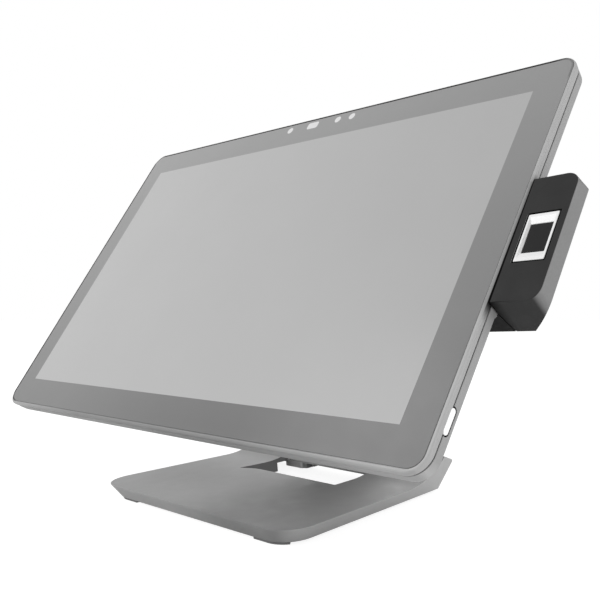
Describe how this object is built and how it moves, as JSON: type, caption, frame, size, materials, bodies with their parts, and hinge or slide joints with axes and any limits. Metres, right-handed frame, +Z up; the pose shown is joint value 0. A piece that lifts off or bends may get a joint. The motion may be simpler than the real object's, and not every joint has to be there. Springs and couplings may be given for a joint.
{
  "type": "countertop checkout terminal",
  "caption": "Countertop touch-screen terminal, its screen leaning back on a double-hinged arm over a bent-plate foot with a cable window, and a fingerprint reader on the screen's right edge.",
  "frame": {"origin": "on the table top, under the middle of the whole object's outline", "axes": "+Z up, +X to the user's right along the screen's long side, -Y towards the user"},
  "size_m": [0.5696, 0.2174, 0.3467],
  "materials": {
    "foot_grey": "fine satin paint over cast metal",
    "steel": "zinc plated",
    "cover_black": "fine grain",
    "rubber": "matt",
    "frame_silver": "bead blasted satin",
    "shell_grey": "fine grain",
    "washer_brass": "satin",
    "front_glass": "smooth, printed grey on the back",
    "panel_black": "smooth",
    "bare_aluminium": "mill",
    "board_green": "solder resist",
    "part_black": "moulded",
    "bright_white": "smooth",
    "reader_charcoal": "fine grain"
  },
  "bodies": {
    "base": {"base_plate": "foot_grey", "ballast_plate": "steel", "bottom_cover": "cover_black", "bottom_cover_screw_1": "steel", "bottom_cover_screw_2": "steel", "bottom_cover_screw_3": "steel", "bottom_cover_screw_4": "steel", "foot_front_left": "rubber", "foot_front_right": "rubber", "foot_rear_left": "rubber", "foot_rear_right": "rubber", "lower_hinge_bracket_left": "steel", "lower_hinge_bracket_right": "steel", "lower_hinge_pin": "steel", "hinge_bracket_screw_1": "steel", "hinge_bracket_screw_2": "steel", "hinge_bracket_screw_3": "steel", "hinge_bracket_screw_4": "steel"},
    "arm": {"support_arm": "frame_silver", "arm_cover": "shell_grey", "head_cable": "rubber", "lower_washer_right": "washer_brass", "lower_washer_left": "washer_brass", "upper_washer_right": "washer_brass", "upper_washer_left": "washer_brass"},
    "head": {"cover_glass": "front_glass", "front_frame": "frame_silver", "rear_cover": "shell_grey", "lcd_cell": "panel_black", "backlight_unit": "bare_aluminium", "chassis_plate": "steel", "mainboard": "board_green", "heatsink": "bare_aluminium", "blower_housing": "part_black", "storage_drive": "bare_aluminium", "power_board": "board_green", "speaker_left": "part_black", "speaker_right": "part_black", "sensor_board": "board_green", "camera_barrel_left": "part_black", "camera_barrel_right": "part_black", "light_sensor": "part_black", "status_lamp": "bright_white", "port_panel": "steel", "port_board": "part_black", "button_board": "board_green", "head_bracket": "steel", "tilt_pin": "steel", "head_bracket_screw_1": "steel", "head_bracket_screw_2": "steel", "head_bracket_screw_3": "steel", "head_bracket_screw_4": "steel", "reader_front_shell": "reader_charcoal", "reader_rear_shell": "reader_charcoal", "sensor_frame": "bright_white", "sensor_window": "panel_black", "reader_board": "board_green"},
    "power_button": {"power_button": "bright_white"},
    "blower_wheel": {"blower_wheel": "part_black"}
  },
  "joints": [
    {"name": "base_hinge", "type": "hinge", "parent": "base", "child": "arm", "pos_m": [-0.01777, 0.09772, 0.044], "axis": [1, 0, 0], "range_deg": [-14, 5]},
    {"name": "head_tilt", "type": "hinge", "parent": "arm", "child": "head", "pos_m": [-0.01777, 0.03133, 0.18151], "axis": [1, 0, 0], "range_deg": [-25, 22]},
    {"name": "power_button_press", "type": "slide", "parent": "head", "child": "power_button", "axis": [-1, 0, 0], "range_m": [0, 0.0008], "stiffness_N_per_m": 20},
    {"name": "blower_spin", "type": "hinge", "parent": "head", "child": "blower_wheel", "pos_m": [0.06623, -0.01618, 0.16134], "axis": [0, -0.8145, 0.5801], "continuous": true}
  ]
}
